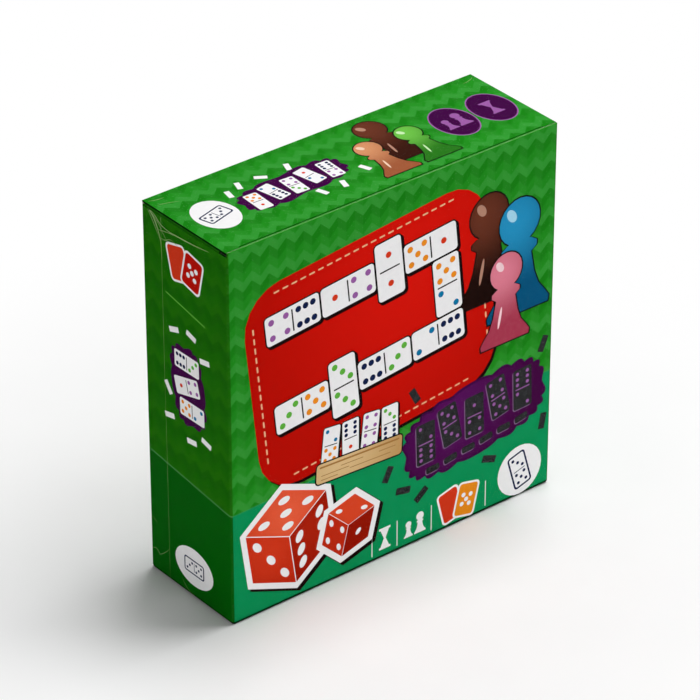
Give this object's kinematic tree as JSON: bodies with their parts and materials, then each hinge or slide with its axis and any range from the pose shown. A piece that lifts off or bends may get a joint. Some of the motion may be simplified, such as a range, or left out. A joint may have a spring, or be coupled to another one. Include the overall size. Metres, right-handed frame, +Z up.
{
  "type": "domino card game",
  "caption": "Standing rectangular folding carton with a hinged tuck-end lid and dust flaps, wrapped in clear film, holding two packs of domino cards.",
  "frame": {"origin": "middle of the base, on the surface that the box stands on", "axes": "+Z up, +X to the right along the front panel, -Y out of the front panel"},
  "size_m": [0.175, 0.057, 0.179],
  "materials": {
    "printed_board": "glossy varnished print",
    "plain_board": "matt white-backed board",
    "shrink_film": "clear shrink film",
    "card_board": "satin varnished card",
    "band_paper": "plain paper",
    "leaflet_paper": "printed paper"
  },
  "bodies": {
    "carton": {"front_panel": "printed_board", "back_panel": "printed_board", "left_side_panel": "printed_board", "right_side_panel": "printed_board", "glue_flap": "plain_board", "bottom_flap_back": "printed_board", "bottom_flap_front": "plain_board", "bottom_flap_left": "plain_board", "bottom_flap_right": "plain_board", "film_sleeve": "shrink_film", "film_base": "shrink_film"},
    "lid": {"lid_panel": "printed_board", "film_lid": "shrink_film"},
    "tuck_flap": {"tuck_flap": "printed_board"},
    "dust_flap_left": {"dust_flap_left": "plain_board"},
    "dust_flap_right": {"dust_flap_right": "plain_board"},
    "card_pack_left": {"card_0_0": "card_board", "card_0_1": "card_board", "card_0_2": "card_board", "card_0_3": "card_board", "card_0_4": "card_board", "card_0_5": "card_board", "card_0_6": "card_board", "card_1_1": "card_board", "card_1_2": "card_board", "card_1_3": "card_board", "card_1_4": "card_board", "card_1_5": "card_board", "card_1_6": "card_board", "card_2_2": "card_board", "paper_band_left": "band_paper"},
    "card_pack_right": {"card_2_3": "card_board", "card_2_4": "card_board", "card_2_5": "card_board", "card_2_6": "card_board", "card_3_3": "card_board", "card_3_4": "card_board", "card_3_5": "card_board", "card_3_6": "card_board", "card_4_4": "card_board", "card_4_5": "card_board", "card_4_6": "card_board", "card_5_5": "card_board", "card_5_6": "card_board", "card_6_6": "card_board", "paper_band_right": "band_paper", "rules_leaflet": "leaflet_paper"}
  },
  "joints": [
    {"name": "lid_hinge", "type": "hinge", "parent": "carton", "child": "lid", "pos_m": [0, 0.02785, 0.17835], "axis": [-1, 0, 0], "range_deg": [0, 150.5]},
    {"name": "tuck_fold", "type": "hinge", "parent": "lid", "child": "tuck_flap", "pos_m": [0, -0.0268, 0.17835], "axis": [-1, 0, 0], "range_deg": [0, 38]},
    {"name": "dust_fold_left", "type": "hinge", "parent": "carton", "child": "dust_flap_left", "pos_m": [-0.08685, 0, 0.17745], "axis": [0, -1, 0], "range_deg": [0, 128]},
    {"name": "dust_fold_right", "type": "hinge", "parent": "carton", "child": "dust_flap_right", "pos_m": [0.08685, 0, 0.17745], "axis": [0, 1, 0], "range_deg": [0, 128]},
    {"name": "left_pack_lift", "type": "slide", "parent": "carton", "child": "card_pack_left", "axis": [0, 0, 1], "range_m": [0, 0.0471]},
    {"name": "right_pack_lift", "type": "slide", "parent": "carton", "child": "card_pack_right", "axis": [0, 0, 1], "range_m": [0, 0.0473]}
  ],
  "couplings": [
    {"joint": "right_pack_lift", "follows": "left_pack_lift", "ratio": 1},
    {"joint": "lid_hinge", "follows": "left_pack_lift", "rad_per_m": 55.556},
    {"joint": "tuck_fold", "follows": "left_pack_lift", "rad_per_m": 13.889},
    {"joint": "dust_fold_left", "follows": "left_pack_lift", "rad_per_m": 47.222},
    {"joint": "dust_fold_right", "follows": "left_pack_lift", "rad_per_m": 47.222}
  ]
}
